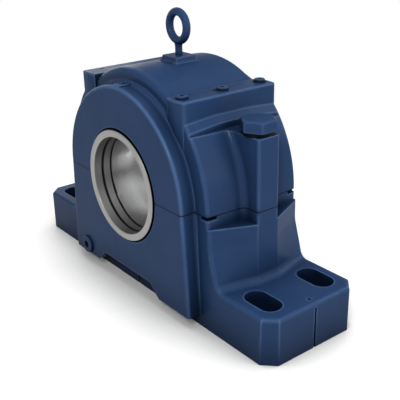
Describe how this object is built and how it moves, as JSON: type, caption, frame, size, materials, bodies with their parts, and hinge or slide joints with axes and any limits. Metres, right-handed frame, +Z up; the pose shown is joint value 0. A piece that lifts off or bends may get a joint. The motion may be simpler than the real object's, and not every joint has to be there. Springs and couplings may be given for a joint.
{
  "type": "split plummer block",
  "caption": "Split cast plummer block with spherical roller bearing on a tapered sleeve, labyrinth seals, lifting eye and slotted foot.",
  "frame": {"origin": "middle of the foot's underside, on the floor", "axes": "+Z up, Y along the shaft with the pictured face at -Y, X along the foot"},
  "size_m": [0.61, 0.2195, 0.425],
  "materials": {
    "casting": "satin blue enamel on cast iron",
    "bolts": "blue enamel over steel",
    "washers": "dark plain steel",
    "pins": "ground steel",
    "plugs": "blue enamel over steel",
    "seal_steel": "fine turned steel",
    "seal_rubber": "black rubber",
    "ring_steel": "turned steel",
    "bearing_steel": "ground bearing steel",
    "cage_brass": "machined brass",
    "sleeve_steel": "fine turned steel",
    "nut_steel": "blackened steel"
  },
  "bodies": {
    "housing": {"housing_base": "casting", "housing_cap": "casting", "cap_bolt_left": "bolts", "cap_bolt_right": "bolts", "cap_washer_left": "washers", "cap_washer_right": "washers", "dowel_pin_left": "pins", "dowel_pin_right": "pins", "eye_bolt": "bolts", "grease_plug_front": "plugs", "grease_plug_middle": "plugs", "grease_plug_rear": "plugs", "plug_seals": "seal_rubber", "drain_plug": "plugs", "locating_ring_front": "ring_steel", "locating_ring_rear": "ring_steel", "bearing_outer_ring": "bearing_steel"},
    "align": {"guide_ring": "ring_steel"},
    "rotor": {"bearing_inner_ring": "bearing_steel", "adapter_sleeve": "sleeve_steel", "lock_washer": "sleeve_steel", "lock_nut": "nut_steel", "seal_ring_front": "seal_steel", "seal_ring_rear": "seal_steel", "seal_cord_front": "seal_rubber", "seal_cord_rear": "seal_rubber"},
    "rollers": {"rollers_front": "bearing_steel", "rollers_rear": "bearing_steel", "cage_front": "cage_brass", "cage_rear": "cage_brass"}
  },
  "joints": [
    {"name": "align_tilt", "type": "hinge", "parent": "housing", "child": "align", "pos_m": [0, 0, 0.175], "axis": [1, 0, 0], "range_deg": [-0.3, 0.3]},
    {"name": "shaft_spin", "type": "hinge", "parent": "align", "child": "rotor", "pos_m": [0, 0, 0.175], "axis": [0, -1, 0], "continuous": true},
    {"name": "roller_orbit", "type": "hinge", "parent": "align", "child": "rollers", "pos_m": [0, 0, 0.175], "axis": [0, -1, 0], "continuous": true}
  ],
  "couplings": [
    {"joint": "roller_orbit", "follows": "shaft_spin", "ratio": 0.4211}
  ]
}
